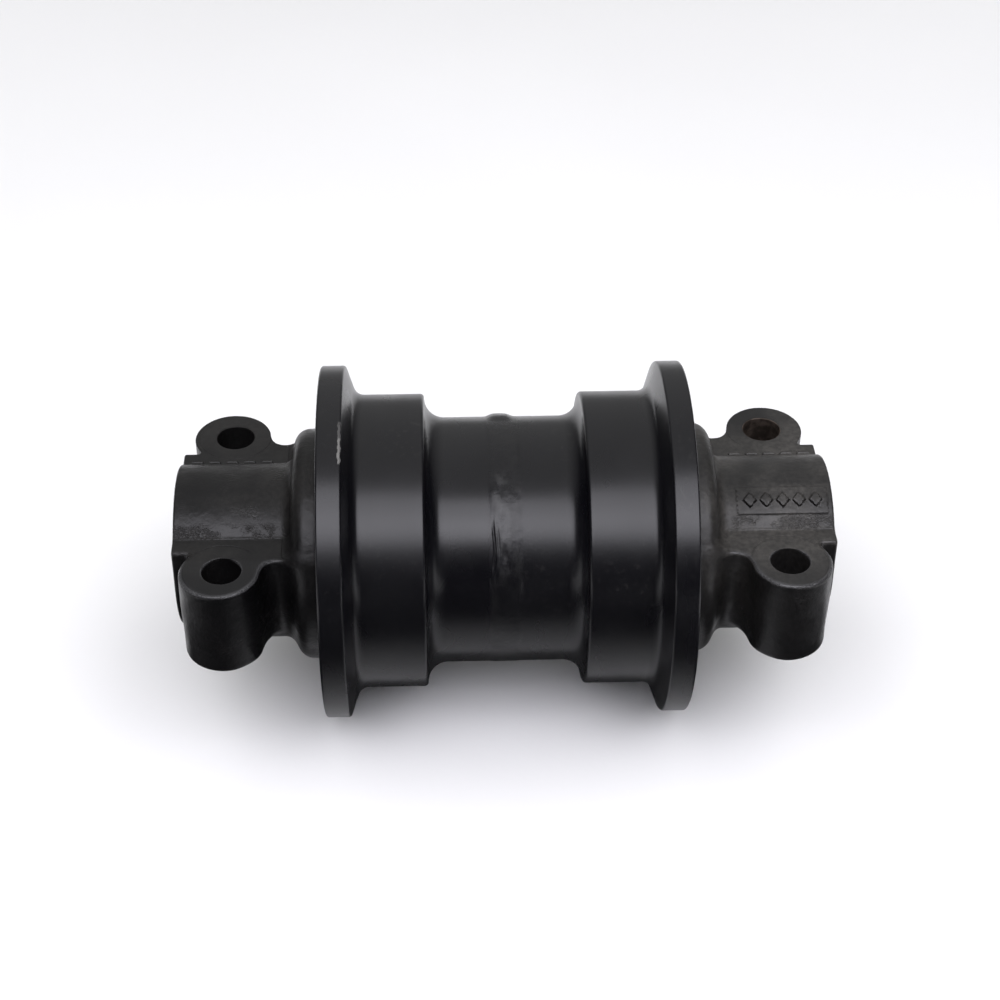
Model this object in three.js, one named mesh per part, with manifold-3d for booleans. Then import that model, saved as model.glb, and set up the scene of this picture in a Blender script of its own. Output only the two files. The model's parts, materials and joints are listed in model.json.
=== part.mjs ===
// Track roller of a 12-tonne crawler excavator: a flanged steel shell that turns on a pinned axle, lubricated
// for life and closed at each end by a floating seal and a cast collar. The collars bolt up under the track
// frame, and the chain's two rails run on the shell's treads, between its flanges.
//
// Millimetres. +X lies along the axle, +Z points up to the track frame, and the origin is the middle of the
// axle. Everything that comes in pairs is drawn for the +X end, and a mirrored group holds the other one.
import * as THREE from "three";
import { mergeVertices } from "three/addons/utils/BufferGeometryUtils.js";
import Module from "manifold-3d";

// ---- driving dimensions -------------------------------------------------------------------------------
const OVERALL = 296; // over the collars' end faces
const FLANGE_R = 81;
const FLANGE_OUT = 82.3; // flange's outer face
const RIM_WIDTH = 11;
const TREAD_R = 67.5;
const TREAD_IN = 35.6; // tread's edge beside the waist
const WAIST_R = 56.5;
const SHAFT_R = 24;
const BUSH_R = 28.5; // outside of the pressed bush
const BUSH_IN = 20.5; // inner end of the bush
const BUSH_SHOULDER = 62; // where the bush's flange seats in the shell
const BUSH_FLANGE = 4;
const BUSH_FLANGE_R = 36;
const SEAL_PLANE = 79.6; // where the two metal seal rings run face to face
const BELL_R = 52.2; // collar's bell over the seal
const NECK_R = 42.5;
const CORE_R = 36.5; // round back of the collar, between its bolt bosses
const FLAT_Z = 24.5; // machined face that meets the track frame
const BOLT_X = 124.8;
const BOLT_Y = 48.6;
const BOLT_HOLE_R = 8.75; // for an M16 bolt
const BOSS_R = 17.8;
const BOSS_SHIFT = 1.2; // boss is cast a little outboard of its hole
const BOSS_FOOT_Z = -20.5;
const PIN_R = 6;

// ---- clearances ---------------------------------------------------------------------------------------
const FIT_GAP = 0.15; // pressed or close-fitting round pieces
const FACE_GAP = 0.3; // pieces that lie face to face
const RING_GAP = 0.2; // between the running faces of the seal rings
const RUNNING_GAP = 0.06; // between the axle and its bushes
const PAST = 1; // a cutter runs this far past the face that it opens

// ---- facets -------------------------------------------------------------------------------------------
const SHELL_SIDES = 48;
const COLLAR_SIDES = 40;
const SIDES = 32;
const HOLE_SIDES = 24;

const END_X = OVERALL / 2;
const STEEL = { color: 0x8d8f92, roughness: 0.35, metalness: 1 };
const MATERIALS = {
  shell: { color: 0x191a1c, roughness: 0.42, metalness: 0.1 },
  casting: { color: 0x171717, roughness: 0.5, metalness: 0.1 },
  steel: STEEL,
  bronze: { color: 0xa9783f, roughness: 0.4, metalness: 1 },
  sealRing: { color: 0x6f7276, roughness: 0.25, metalness: 1 },
  rubber: { color: 0x0d0d0d, roughness: 0.8, metalness: 0 },
  plug: { color: 0x77797c, roughness: 0.45, metalness: 1 },
};

const wasm = await Module();
wasm.setup();

// ---- helpers ------------------------------------------------------------------------------------------

// Radius of the corners of a regular polygon whose flats lie at radius r, so that a bore keeps its size.
function overFlats(r, sides) {
  return r / Math.cos(Math.PI / sides);
}

// Points [x, r] along an arc, in degrees: 0 points along +X, 90 points away from the axle.
function arc(x, r, radius, from, to, steps) {
  return Array.from({ length: steps + 1 }, (_, i) => {
    const a = THREE.MathUtils.degToRad(from + ((to - from) * i) / steps);
    return [x + radius * Math.cos(a), r + radius * Math.sin(a)];
  });
}

// A closed or axis-to-axis profile of [x, r] points turned about the X axis, with a flat side facing down.
// The profile runs clockwise, which is outside from -X to +X and then back along the inside.
function turned(profile, sides) {
  const points = profile.map(([x, r]) => new THREE.Vector2(r, x));
  const geometry = new THREE.LatheGeometry(points, sides, Math.PI / sides);
  return geometry.rotateZ(-Math.PI / 2);
}

// The ring profile of [x, r] points, closed on itself.
function closed(profile) {
  return [...profile, profile[0]];
}

// The points mirrored to the other end of the axle, in the order that carries on a clockwise profile.
function mirrored(profile) {
  return profile.map(([x, r]) => [-x, r]).reverse();
}

// A cylinder along X, from x0 to x1, with its flats at radius r.
function rod(x0, x1, r, sides) {
  const corner = overFlats(r, sides);
  return turned([[x0, 0], [x0, corner], [x1, corner], [x1, 0]], sides);
}

// A vertical cylinder with its flats at radius r.
function post(x, y, z0, z1, r) {
  const corner = overFlats(r, HOLE_SIDES);
  const geometry = new THREE.CylinderGeometry(corner, corner, z1 - z0, HOLE_SIDES);
  return geometry.rotateX(Math.PI / 2).translate(x, y, (z0 + z1) / 2);
}

// A box given by its lowest and highest corner.
function block(low, high) {
  const size = high.map((h, i) => h - low[i]);
  return new THREE.BoxGeometry(...size).translate(...low.map((l, i) => l + size[i] / 2));
}

function solid(geometry) {
  const bare = geometry.index ? geometry.toNonIndexed() : geometry.clone();
  const only = new THREE.BufferGeometry().setAttribute("position", bare.getAttribute("position"));
  const merged = mergeVertices(only, 1e-3);
  return new wasm.Manifold(
    new wasm.Mesh({
      numProp: 3,
      vertProperties: merged.attributes.position.array,
      triVerts: new Uint32Array(merged.index.array),
    }),
  );
}

function geometryOf(made) {
  const mesh = made.getMesh();
  return new THREE.BufferGeometry()
    .setAttribute("position", new THREE.BufferAttribute(new Float32Array(mesh.vertProperties), 3))
    .setIndex(new THREE.BufferAttribute(new Uint32Array(mesh.triVerts), 1));
}

function join(...geometries) {
  return geometries.map(solid).reduce((a, b) => a.add(b));
}

function cut(body, ...geometries) {
  return geometries.map(solid).reduce((a, b) => a.subtract(b), body);
}

function named(name, geometry, material) {
  const mesh = new THREE.Mesh(geometry, new THREE.MeshStandardMaterial(MATERIALS[material]));
  mesh.name = name;
  return mesh;
}

// ---- seal cavity, shared by the shell, the collar and the rings ----------------------------------------
const SEAL = {
  ringInR: 33,
  ringFaceR: 40.4, // outside of the running face
  faceWidth: 2.6,
  rampTopR: 38.6, // ring's ramp, from its running face down to its tail
  rampEndR: 35.6,
  tail: 9.8, // ring's length behind the seal plane
  mouthR: 43.6, // housing's ramp, parallel to the ring's
  housingEndR: 40.6,
  endGap: 0.6, // clearance behind the ring's tail
  toricR: 2.1,
  toricX: 6.2, // toric's middle behind the seal plane
  toricMidR: 39.6,
};

// Housing's wall from its mouth to its end, at dx to the side of the seal plane that side names.
function housingRamp(side) {
  return [
    [SEAL_PLANE + side * SEAL.faceWidth, SEAL.mouthR],
    [SEAL_PLANE + side * SEAL.tail, SEAL.housingEndR],
    [SEAL_PLANE + side * (SEAL.tail + SEAL.endGap), SEAL.housingEndR],
  ];
}

// ---- roller shell -------------------------------------------------------------------------------------
const WAIST_FILLET = 7;
const TREAD_EDGE = 2;
const ROOT_FILLET = 6;
const FLANGE_SLOPE = 12; // degrees that the flange's inner face leans outward
const RIM_EDGE = 1.5;
const RECESS_FLOOR = 79; // the collar's bell runs in this recess, as a labyrinth
const RECESS_R = 56;
const RESERVOIR_R = 31;
const RESERVOIR_END = 19.5; // the oil space ends just inside the bushes
const FLANGE_SEAT_R = 36.8;

function shell() {
  const rimIn = FLANGE_OUT - RIM_WIDTH;
  const lean = THREE.MathUtils.degToRad(FLANGE_SLOPE);
  const rootTop = TREAD_R + ROOT_FILLET * (1 - Math.sin(lean));
  const rimLow = FLANGE_R - RIM_EDGE;
  const rootX = rimIn - (rimLow - rootTop) * Math.tan(lean) - ROOT_FILLET * Math.cos(lean);
  const outside = [
    ...arc(TREAD_IN - WAIST_FILLET, WAIST_R + WAIST_FILLET, WAIST_FILLET, -90, 0, 3),
    ...arc(TREAD_IN + TREAD_EDGE, TREAD_R - TREAD_EDGE, TREAD_EDGE, 180, 90, 1),
    ...arc(rootX, TREAD_R + ROOT_FILLET, ROOT_FILLET, -90, -FLANGE_SLOPE, 2),
    [rimIn, rimLow],
    [rimIn + RIM_EDGE, FLANGE_R],
    [FLANGE_OUT - RIM_EDGE, FLANGE_R],
    [FLANGE_OUT, rimLow],
  ];
  const inside = [
    [FLANGE_OUT, RECESS_R],
    [RECESS_FLOOR, RECESS_R],
    [RECESS_FLOOR, SEAL.mouthR],
    ...housingRamp(-1),
    [SEAL_PLANE - SEAL.tail - SEAL.endGap, FLANGE_SEAT_R],
    [BUSH_SHOULDER, FLANGE_SEAT_R],
    [BUSH_SHOULDER, BUSH_R + FIT_GAP],
    [RESERVOIR_END, BUSH_R + FIT_GAP],
    [RESERVOIR_END, RESERVOIR_R],
  ];
  const scaled = [...mirrored(outside), ...outside, ...inside, ...mirrored(inside)].map(
    ([x, r]) => [x, overFlats(r, SHELL_SIDES)],
  );
  return turned(closed(scaled), SHELL_SIDES);
}

// ---- bush, seals and rings ----------------------------------------------------------------------------
const BUSH_CHAMFER = 1;
const TORIC_STEPS = 8;
const O_RING_STEPS = 6;

// The bore's flats clear the corners of the axle as it turns.
function bush() {
  const bore = overFlats(SHAFT_R + RUNNING_GAP, SIDES);
  const faceX = BUSH_SHOULDER + FACE_GAP + BUSH_FLANGE;
  return turned(
    closed([
      [BUSH_IN, bore],
      [BUSH_IN, BUSH_R - BUSH_CHAMFER],
      [BUSH_IN + BUSH_CHAMFER, BUSH_R],
      [BUSH_SHOULDER + FACE_GAP, BUSH_R],
      [BUSH_SHOULDER + FACE_GAP, BUSH_FLANGE_R],
      [faceX, BUSH_FLANGE_R],
      [faceX, bore + BUSH_CHAMFER],
      [faceX - BUSH_CHAMFER, bore],
    ]),
    SIDES,
  );
}

// One metal ring of the pair. side -1 turns with the shell and side +1 stands in the collar.
function sealRing(side) {
  const face = SEAL_PLANE + (side * RING_GAP) / 2;
  const profile = [
    [face, SEAL.ringInR],
    [face, SEAL.ringFaceR],
    [face + side * SEAL.faceWidth, SEAL.ringFaceR],
    [face + side * SEAL.faceWidth, SEAL.rampTopR],
    [face + side * SEAL.tail, SEAL.rampEndR],
    [face + side * SEAL.tail, SEAL.ringInR],
  ];
  return turned(closed(side > 0 ? profile : profile.reverse()), HOLE_SIDES);
}

// Rubber ring of round section: its middle at x, on a circle of radius midR.
function rubberRing(x, midR, sectionR, steps) {
  return turned(arc(x, midR, sectionR, 180, -180, steps), HOLE_SIDES);
}

// ---- axle ---------------------------------------------------------------------------------------------
const SHAFT_END = END_X - 2; // axle stops just inside the collar's end face
const SHAFT_CHAMFER = 2;
const OIL_HOLE_R = 4.5;
const OIL_HOLE_END = -8; // blind end, just past the feed hole
const FEED_HOLE_R = 4;
const PLUG_R = 6.85; // plug's threaded shank
const PLUG_HEAD_R = 10.2;
const PLUG_HEAD = 4;
const PLUG_SEAT = SHAFT_END - 5;
const PLUG_HOLE_END = PLUG_SEAT - 14;
const PLUG_CHAMFER = 1;
const PLUG_RING_DEPTH = 2.3; // counterbore that holds the plug's O-ring
const PLUG_RING_R = 9.4;
const PLUG_RING_SECTION = 0.85;
const GROOVE_X = 104; // O-ring groove that keeps oil in along the collar's bore
const GROOVE_R = 20.8;
const GROOVE_WIDTH = 4.8;
const GROOVE_RING_SECTION = 1.3;
const PIN_Y = -18; // pin passes through the side of the axle, clear of the oil hole
const PIN_FOOT = -30.5;
const PIN_TOP = 19;
const PIN_CHAMFER = 1;

function axle() {
  const half = [
    [GROOVE_X - GROOVE_WIDTH / 2, SHAFT_R],
    [GROOVE_X - GROOVE_WIDTH / 2, GROOVE_R],
    [GROOVE_X + GROOVE_WIDTH / 2, GROOVE_R],
    [GROOVE_X + GROOVE_WIDTH / 2, SHAFT_R],
    [SHAFT_END - SHAFT_CHAMFER, SHAFT_R],
    [SHAFT_END, SHAFT_R - SHAFT_CHAMFER],
    [SHAFT_END, 0],
  ];
  const oilHole = rod(OIL_HOLE_END, SHAFT_END, OIL_HOLE_R, HOLE_SIDES);
  const feed = post(0, 0, 0, SHAFT_R + PAST, FEED_HOLE_R);
  const seat = rod(PLUG_SEAT, SHAFT_END + PAST, PLUG_HEAD_R + FACE_GAP, HOLE_SIDES);
  const thread = rod(PLUG_HOLE_END, SHAFT_END, PLUG_R + FACE_GAP, HOLE_SIDES);
  const ringSeat = rod(PLUG_SEAT - PLUG_RING_DEPTH, PLUG_SEAT + PAST, PLUG_RING_R, HOLE_SIDES);
  const notches = [-BOLT_X, BOLT_X].map((x) => post(x, PIN_Y, -SHAFT_R, SHAFT_R, PIN_R + FIT_GAP));
  const body = solid(turned([...mirrored(half), ...half], SIDES));
  return geometryOf(cut(body, oilHole, feed, seat, thread, ringSeat, ...notches));
}

function lockPin() {
  const length = PIN_TOP - PIN_FOOT;
  const points = [
    [0, 0],
    [0, PIN_R - PIN_CHAMFER],
    [PIN_CHAMFER, PIN_R],
    [length - PIN_CHAMFER, PIN_R],
    [length, PIN_R - PIN_CHAMFER],
    [length, 0],
  ];
  return turned(points, HOLE_SIDES).rotateY(-Math.PI / 2).translate(BOLT_X, PIN_Y, PIN_FOOT);
}

const SOCKET_FLATS = 8;
const SOCKET_DEPTH = 6;

function fillPlug() {
  const tip = PLUG_HOLE_END + 1;
  const head = PLUG_SEAT + FACE_GAP;
  const top = head + PLUG_HEAD;
  const body = turned(
    [
      [tip, 0],
      [tip, PLUG_R - PLUG_CHAMFER],
      [tip + PLUG_CHAMFER, PLUG_R],
      [head, PLUG_R],
      [head, PLUG_HEAD_R],
      [top - PLUG_CHAMFER, PLUG_HEAD_R],
      [top, PLUG_HEAD_R - PLUG_CHAMFER],
      [top, 0],
    ],
    HOLE_SIDES,
  );
  const socket = rod(top - SOCKET_DEPTH, top + PAST, SOCKET_FLATS / 2, 6);
  return geometryOf(cut(solid(body), socket));
}

// ---- collar -------------------------------------------------------------------------------------------
const NOSE_R = 31; // sleeve that runs through the seal to the bush's flange
const BELL_MOUTH = 80.2; // bell starts here, inside the shell's recess
const BELL_CHAMFER = 0.8;
const BELL_ROUND = 7.2;
const BELL_ROUND_X = 87.8;
const NECK_ROUND = 5;
const NECK_ROUND_X = 100.4;
const NECK_TAPER_X = 103; // neck narrows to the core from here
const NECK_END = 107;
const FLAT_START = 96; // machined face begins here, clear of the bell
const LUG_START = 93;
const INNER_FILLET = 6; // between the neck's wall and the boss
const OUTER_FILLET = 3; // between the boss and the end of the casting
const FILLET_STEPS = 7;
const BORE_CHAMFER = 1.5;
const END_CHAMFER = 1;

// Bell, neck and core as one turned piece, outside first and then back along the seal cavity and the nose.
function collarRound() {
  const noseFace = BUSH_SHOULDER + BUSH_FLANGE + 2 * FACE_GAP;
  const bore = SHAFT_R + 2 * FIT_GAP;
  const outside = [
    [BELL_MOUTH, BELL_R - BELL_CHAMFER],
    [BELL_MOUTH + BELL_CHAMFER, BELL_R],
    ...arc(BELL_ROUND_X, BELL_R - BELL_ROUND, BELL_ROUND, 90, 20, 3),
    ...arc(NECK_ROUND_X, NECK_R + NECK_ROUND, NECK_ROUND, -160, -90, 3),
    [NECK_TAPER_X, NECK_R],
    [NECK_END, CORE_R],
    [END_X - END_CHAMFER, CORE_R],
    [END_X, CORE_R - END_CHAMFER],
    [END_X, bore + BORE_CHAMFER],
    [END_X - BORE_CHAMFER, bore],
  ];
  const inside = [
    [noseFace, bore],
    [noseFace, NOSE_R],
    [SEAL_PLANE + SEAL.tail + SEAL.endGap, NOSE_R],
    ...housingRamp(1).reverse(),
    [BELL_MOUTH, SEAL.mouthR],
  ];
  const scaled = [...outside, ...inside].map(([x, r]) => [x, overFlats(r, COLLAR_SIDES)]);
  return turned(closed(scaled), COLLAR_SIDES);
}

// Centre and tangent angle of a fillet that lies against the wall at y = -wall and outside the boss's circle.
// side -1 is the fillet towards the bell, and side +1 the one towards the casting's end.
function bossFillet(wall, radius, side) {
  const y = -wall - radius;
  const across = y + BOLT_Y;
  const along = Math.sqrt((BOSS_R + radius) ** 2 - across ** 2);
  return { x: BOLT_X + BOSS_SHIFT + side * along, y, toBoss: Math.atan2(-across, -side * along) };
}

// Plan of the bolt lugs, seen from above: the neck, the two bosses with their fillets, and the end.
function lugPlan() {
  const inner = bossFillet(NECK_R, INNER_FILLET, -1);
  const outer = bossFillet(CORE_R, OUTER_FILLET, 1);
  const bossX = BOLT_X + BOSS_SHIFT;
  const front = new THREE.Path();
  front.moveTo(LUG_START, -NECK_R);
  front.absarc(inner.x, inner.y, INNER_FILLET, Math.PI / 2, inner.toBoss, true);
  front.absarc(bossX, -BOLT_Y, BOSS_R, inner.toBoss + Math.PI, outer.toBoss + Math.PI, false);
  front.absarc(outer.x, outer.y, OUTER_FILLET, outer.toBoss, Math.PI / 2, true);
  front.lineTo(END_X, -CORE_R);
  const points = front.getPoints(FILLET_STEPS).filter((p, i, all) => !i || p.distanceTo(all[i - 1]) > 1e-6);
  const rear = points.map((p) => new THREE.Vector2(p.x, -p.y)).reverse();
  return new THREE.Shape([...points, ...rear]);
}

function collar() {
  const lugs = new THREE.ExtrudeGeometry(lugPlan(), { depth: FLAT_Z - BOSS_FOOT_Z, bevelEnabled: false });
  lugs.translate(0, 0, BOSS_FOOT_Z);
  const above = block([FLAT_START, -NECK_R - PAST, FLAT_Z], [END_X + PAST, NECK_R + PAST, NECK_R + PAST]);
  const core = rod(LUG_START, END_X, CORE_R, COLLAR_SIDES);
  const bore = rod(BUSH_SHOULDER, END_X + PAST, SHAFT_R + 2 * FIT_GAP, COLLAR_SIDES);
  const bolts = [-BOLT_Y, BOLT_Y].map((y) => post(BOLT_X, y, BOSS_FOOT_Z - PAST, FLAT_Z + PAST, BOLT_HOLE_R));
  const pin = post(BOLT_X, PIN_Y, -NECK_R, PIN_TOP + FACE_GAP, PIN_R + FIT_GAP);
  const casting = cut(solid(collarRound()), above).add(solid(lugs)).add(solid(core));
  return geometryOf(cut(casting, bore, ...bolts, pin));
}

// ---- assembly -----------------------------------------------------------------------------------------

// Pieces of one end. The group of the -X end is mirrored.
function end(name, side) {
  const group = new THREE.Group();
  group.scale.x = side;
  const toricX = SEAL.toricX + RING_GAP / 2;
  const toric = (x) => rubberRing(x, SEAL.toricMidR, SEAL.toricR, TORIC_STEPS);
  const shaftRing = rubberRing(GROOVE_X, (GROOVE_R + SHAFT_R) / 2 + 0.1, GROOVE_RING_SECTION, O_RING_STEPS);
  group.add(
    named(`${name}_collar`, collar(), "casting"),
    named(`${name}_bushing`, bush(), "bronze"),
    named(`${name}_shell_seal_ring`, sealRing(-1), "sealRing"),
    named(`${name}_collar_seal_ring`, sealRing(1), "sealRing"),
    named(`${name}_shell_toric`, toric(SEAL_PLANE - toricX), "rubber"),
    named(`${name}_collar_toric`, toric(SEAL_PLANE + toricX), "rubber"),
    named(`${name}_shaft_o_ring`, shaftRing, "rubber"),
    named(`${name}_lock_pin`, lockPin(), "steel"),
  );
  return group;
}

function plugRing() {
  const x = PLUG_SEAT + (FACE_GAP - PLUG_RING_DEPTH) / 2;
  return rubberRing(x, (PLUG_R + PLUG_RING_R) / 2, PLUG_RING_SECTION, O_RING_STEPS);
}

const roller = new THREE.Group();
roller.add(
  named("roller_shell", shell(), "shell"),
  named("axle_shaft", axle(), "steel"),
  named("oil_fill_plug", fillPlug(), "plug"),
  named("plug_o_ring", plugRing(), "rubber"),
  end("left", -1),
  end("right", 1),
);

export default roller;
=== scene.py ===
"""Looks of the track roller: a satin-black forged shell between two rough-cast collars, on a pale floor.

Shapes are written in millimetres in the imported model's frame (+X along the axle, +Z up to the track frame)
and become metres when a mesh is made. The +X end is drawn, and the -X end is its mirror image.
"""
import json
import math

import bpy
import numpy as np
from mathutils import Matrix, Vector

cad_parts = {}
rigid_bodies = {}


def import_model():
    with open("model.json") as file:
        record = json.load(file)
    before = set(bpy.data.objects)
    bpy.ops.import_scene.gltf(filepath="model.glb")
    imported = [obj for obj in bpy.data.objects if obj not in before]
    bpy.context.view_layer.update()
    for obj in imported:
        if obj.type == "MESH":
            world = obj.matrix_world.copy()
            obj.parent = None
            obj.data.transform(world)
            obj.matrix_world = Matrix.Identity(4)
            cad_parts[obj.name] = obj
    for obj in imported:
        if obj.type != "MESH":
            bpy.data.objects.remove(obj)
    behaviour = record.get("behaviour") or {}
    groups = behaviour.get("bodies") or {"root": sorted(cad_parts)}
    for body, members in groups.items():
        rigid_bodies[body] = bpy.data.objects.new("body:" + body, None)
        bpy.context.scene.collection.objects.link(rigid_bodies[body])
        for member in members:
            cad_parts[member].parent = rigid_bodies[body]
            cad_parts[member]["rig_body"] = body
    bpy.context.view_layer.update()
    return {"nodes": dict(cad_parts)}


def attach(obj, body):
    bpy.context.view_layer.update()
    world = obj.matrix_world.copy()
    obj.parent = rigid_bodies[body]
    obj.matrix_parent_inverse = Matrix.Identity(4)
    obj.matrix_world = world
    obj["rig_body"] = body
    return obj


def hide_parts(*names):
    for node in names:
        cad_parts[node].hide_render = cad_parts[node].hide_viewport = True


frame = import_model()
MM = 0.001

# ---- driving sizes, in millimetres --------------------------------------------------------------------
FLANGE_R = 81.0
FLANGE_OUT = 82.3
RIM_WIDTH = 11.0
TREAD_R = 67.5
TREAD_IN = 35.6
WAIST_R = 56.5
RECESS_R = 56.0
RECESS_FLOOR = 79.0
END_X = 148.0
FLAT_Z = 24.5
BOLT_X = 124.8
BOLT_Y = 48.6
BOLT_HOLE_R = 8.75
BOSS_R = 17.8
BOSS_X = 126.0
BOSS_FOOT_Z = -20.5
BELL_R = 52.2
BELL_MOUTH = 80.2
NECK_R = 42.5
CORE_R = 36.5
BORE_R = 24.3
PIN_Y = -18.0
PIN_R = 6.0
PIN_HOLE_R = PIN_R + 0.15

SHELL_SEGMENTS = 320
ROUND_SEGMENTS = 128
ARC_STEP = 12  # degrees between the points of a rounded corner


# ---- meshes -------------------------------------------------------------------------------------------
def mesh_object(name, points, faces, normals=None):
    """A smooth-shaded object from points in millimetres. normals, one for each point, are used as given."""
    mesh = bpy.data.meshes.new(name)
    mesh.from_pydata((np.asarray(points) * MM).tolist(), [], [list(f) for f in faces])
    mesh.validate()
    mesh.shade_smooth()
    if normals is not None:
        mesh.normals_split_custom_set_from_vertices(np.asarray(normals).tolist())
    made = bpy.data.objects.new(name, mesh)
    bpy.context.scene.collection.objects.link(made)
    return made


def rounded(corners, closed=True):
    """Outline with rounded corners, as rows (x, r, nx, nr) of its points and outward normals.

    It is given by its corners (x, r, radius) and runs clockwise.
    """
    count = len(corners)
    rows = []
    for i, (x, r, radius) in enumerate(corners):
        here = np.array([x, r], float)
        before = np.array(corners[(i - 1) % count][:2], float) - here
        after = np.array(corners[(i + 1) % count][:2], float) - here
        if not closed and i in (0, count - 1):
            along = after if i == 0 else -before
            along = along / np.linalg.norm(along)
            rows.append([x, r, -along[1], along[0]])
            continue
        before /= np.linalg.norm(before)
        after /= np.linalg.norm(after)
        n0 = np.array([before[1], -before[0]])
        n1 = np.array([-after[1], after[0]])
        turn = math.atan2(n0[0] * n1[1] - n0[1] * n1[0], n0 @ n1)
        reach = radius * abs(math.tan(turn / 2))
        steps = max(1, round(abs(math.degrees(turn)) / ARC_STEP))
        bulge = -1 if turn < 0 else 1
        centre = here + before * reach + bulge * radius * n0
        for k in range(steps + 1):
            cos, sin = math.cos(turn * k / steps), math.sin(turn * k / steps)
            n = np.array([n0[0] * cos - n0[1] * sin, n0[0] * sin + n0[1] * cos])
            rows.append([*(centre - bulge * radius * n), *n])
    return np.array(rows)


def refined(rows, low, high, step):
    """The outline's rows, with a row every step from x = low to high on its outward-facing side."""
    finer = [rows[0]]
    for a, b in zip(rows[:-1], rows[1:]):
        if a[0] < low and b[0] > high and b[3] > 0.9:
            for x in np.arange(low, high, step):
                finer.append(a + (b - a) * (x - a[0]) / (b[0] - a[0]))
        finer.append(b)
    return np.array(finer)


def turned(name, corners, segments=ROUND_SEGMENTS, closed=True, edge=0.3, relief=None, refine=None):
    """A piece turned about the X axis. A corner with no radius of its own gets the small radius edge.

    relief(x, angle) raises the outward-facing surface, and angle is 0 at +Z and positive towards +Y.
    """
    rows = rounded([c if len(c) == 3 else (*c, edge) for c in corners], closed)
    if refine:
        rows = refined(rows, *refine)
    angle = np.arange(segments) * 2 * math.pi / segments
    ring = np.stack([np.zeros(segments), np.sin(angle), np.cos(angle)], 1)
    along = np.stack([np.zeros(segments), np.cos(angle), -np.sin(angle)], 1)
    axial = np.array([1.0, 0, 0])
    radius = np.repeat(rows[:, 1, None], segments, 1)
    tilt_x = tilt_a = np.zeros(radius.shape)
    if relief is not None:
        x, a = np.meshgrid(rows[:, 0], angle, indexing="ij")
        facing = np.repeat((rows[:, 3, None] > 0.5), segments, 1)
        small = 0.01

        def height(dx, da):
            return np.where(facing, relief(x + dx, a + da), 0)

        tilt_x = (height(small, 0) - height(-small, 0)) / (2 * small)
        tilt_a = (height(0, small) - height(0, -small)) / (2 * small) / radius
        radius = radius + height(0, 0)
    points = rows[:, None, 0, None] * axial + radius[..., None] * ring
    normals = (rows[:, None, 2, None] - tilt_x[..., None]) * axial + rows[:, None, 3, None] * ring
    normals = normals - tilt_a[..., None] * along
    normals /= np.linalg.norm(normals, axis=2)[..., None]
    count = len(rows)
    spans = count if closed else count - 1
    faces = []
    for i in range(spans):
        a, b = i * segments, (i + 1) % count * segments
        for k in range(segments):
            n = (k + 1) % segments
            faces.append((a + k, b + k, b + n, a + n))
    if not closed:
        faces.append(tuple(range(segments)))
        faces.append(tuple(range((count - 1) * segments, count * segments))[::-1])
    return mesh_object(name, points.reshape(-1, 3), faces, normals.reshape(-1, 3))


def mirror(corners):
    """The outline's other half, at -X, in the order that carries on a clockwise outline."""
    return [(-c[0], *c[1:]) for c in reversed(corners)]


def carve(piece, cutters):
    """Cuts the solids out of the piece and shades what is left by its edges."""
    for cutter in cutters:
        cut = piece.modifiers.new("cut", "BOOLEAN")
        cut.operation = "DIFFERENCE"
        cut.solver = "EXACT"
        cut.object = cutter
    weigh = piece.modifiers.new("weigh", "WEIGHTED_NORMAL")
    weigh.keep_sharp = True
    bpy.context.view_layer.update()
    whole = piece.evaluated_get(bpy.context.evaluated_depsgraph_get())
    made = bpy.data.meshes.new_from_object(whole)
    piece.modifiers.clear()
    piece.data = made
    for cutter in cutters:
        bpy.data.objects.remove(cutter)
    return piece


def upright(piece, x, y, z):
    """Stands a piece that was turned about X on its -X end at that point."""
    stand = Matrix.Rotation(math.radians(-90), 4, "Y")
    piece.data.transform(Matrix.Translation(Vector((x, y, z)) * MM) @ stand)
    return piece


def meridian(node):
    """Corners (x, r) in millimetres of a turned CAD node's section, clockwise."""
    places = np.array([v.co for v in frame["nodes"][node].data.vertices]) / MM
    angle = np.arctan2(places[:, 1], places[:, 2])
    level = [i for i in range(len(places)) if abs(angle[i] - angle[0]) < 1e-3]
    key = {i: tuple(np.round([places[i, 0], math.hypot(*places[i, 1:])], 3)) for i in level}
    steps = {}
    for edge in frame["nodes"][node].data.edges:
        a, b = (key.get(i) for i in edge.vertices)
        if a and b and a != b:
            steps.setdefault(a, set()).add(b)
            steps.setdefault(b, set()).add(a)
    loop = [key[level[0]]]
    while True:
        following = [s for s in sorted(steps[loop[-1]]) if s not in loop]
        if not following:
            break
        loop.append(following[0])
    area = sum(a[0] * b[1] - b[0] * a[1] for a, b in zip(loop, loop[1:] + loop[:1]))
    return loop if area < 0 else loop[::-1]


def smoothed(node, edge):
    """A turned CAD node made again with round surfaces and its edges rounded to the radius edge."""
    return turned(node + "_smooth", meridian(node), edge=edge)


# ---- cast shapes as distance fields -------------------------------------------------------------------
# Each function below takes points p, shape (n, 3) in millimetres, and returns their distance to a surface,
# negative inside it.
def soft_union(a, b, radius):
    """Joins two fields with a fillet of that radius."""
    inner = np.hypot(np.maximum(radius - a, 0), np.maximum(radius - b, 0))
    return np.maximum(np.minimum(a, b), radius) - inner


def soft_cut(a, b, radius):
    """What lies in both fields, with its outer edges rounded to that radius."""
    return -soft_union(-a, -b, radius)


def disc(p, x, y, radius):
    """An endless vertical cylinder."""
    return np.hypot(p[:, 0] - x, p[:, 1] - y) - radius


def barrel(p, radius):
    """An endless cylinder along the axle."""
    return np.hypot(p[:, 1], p[:, 2]) - radius


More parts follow.
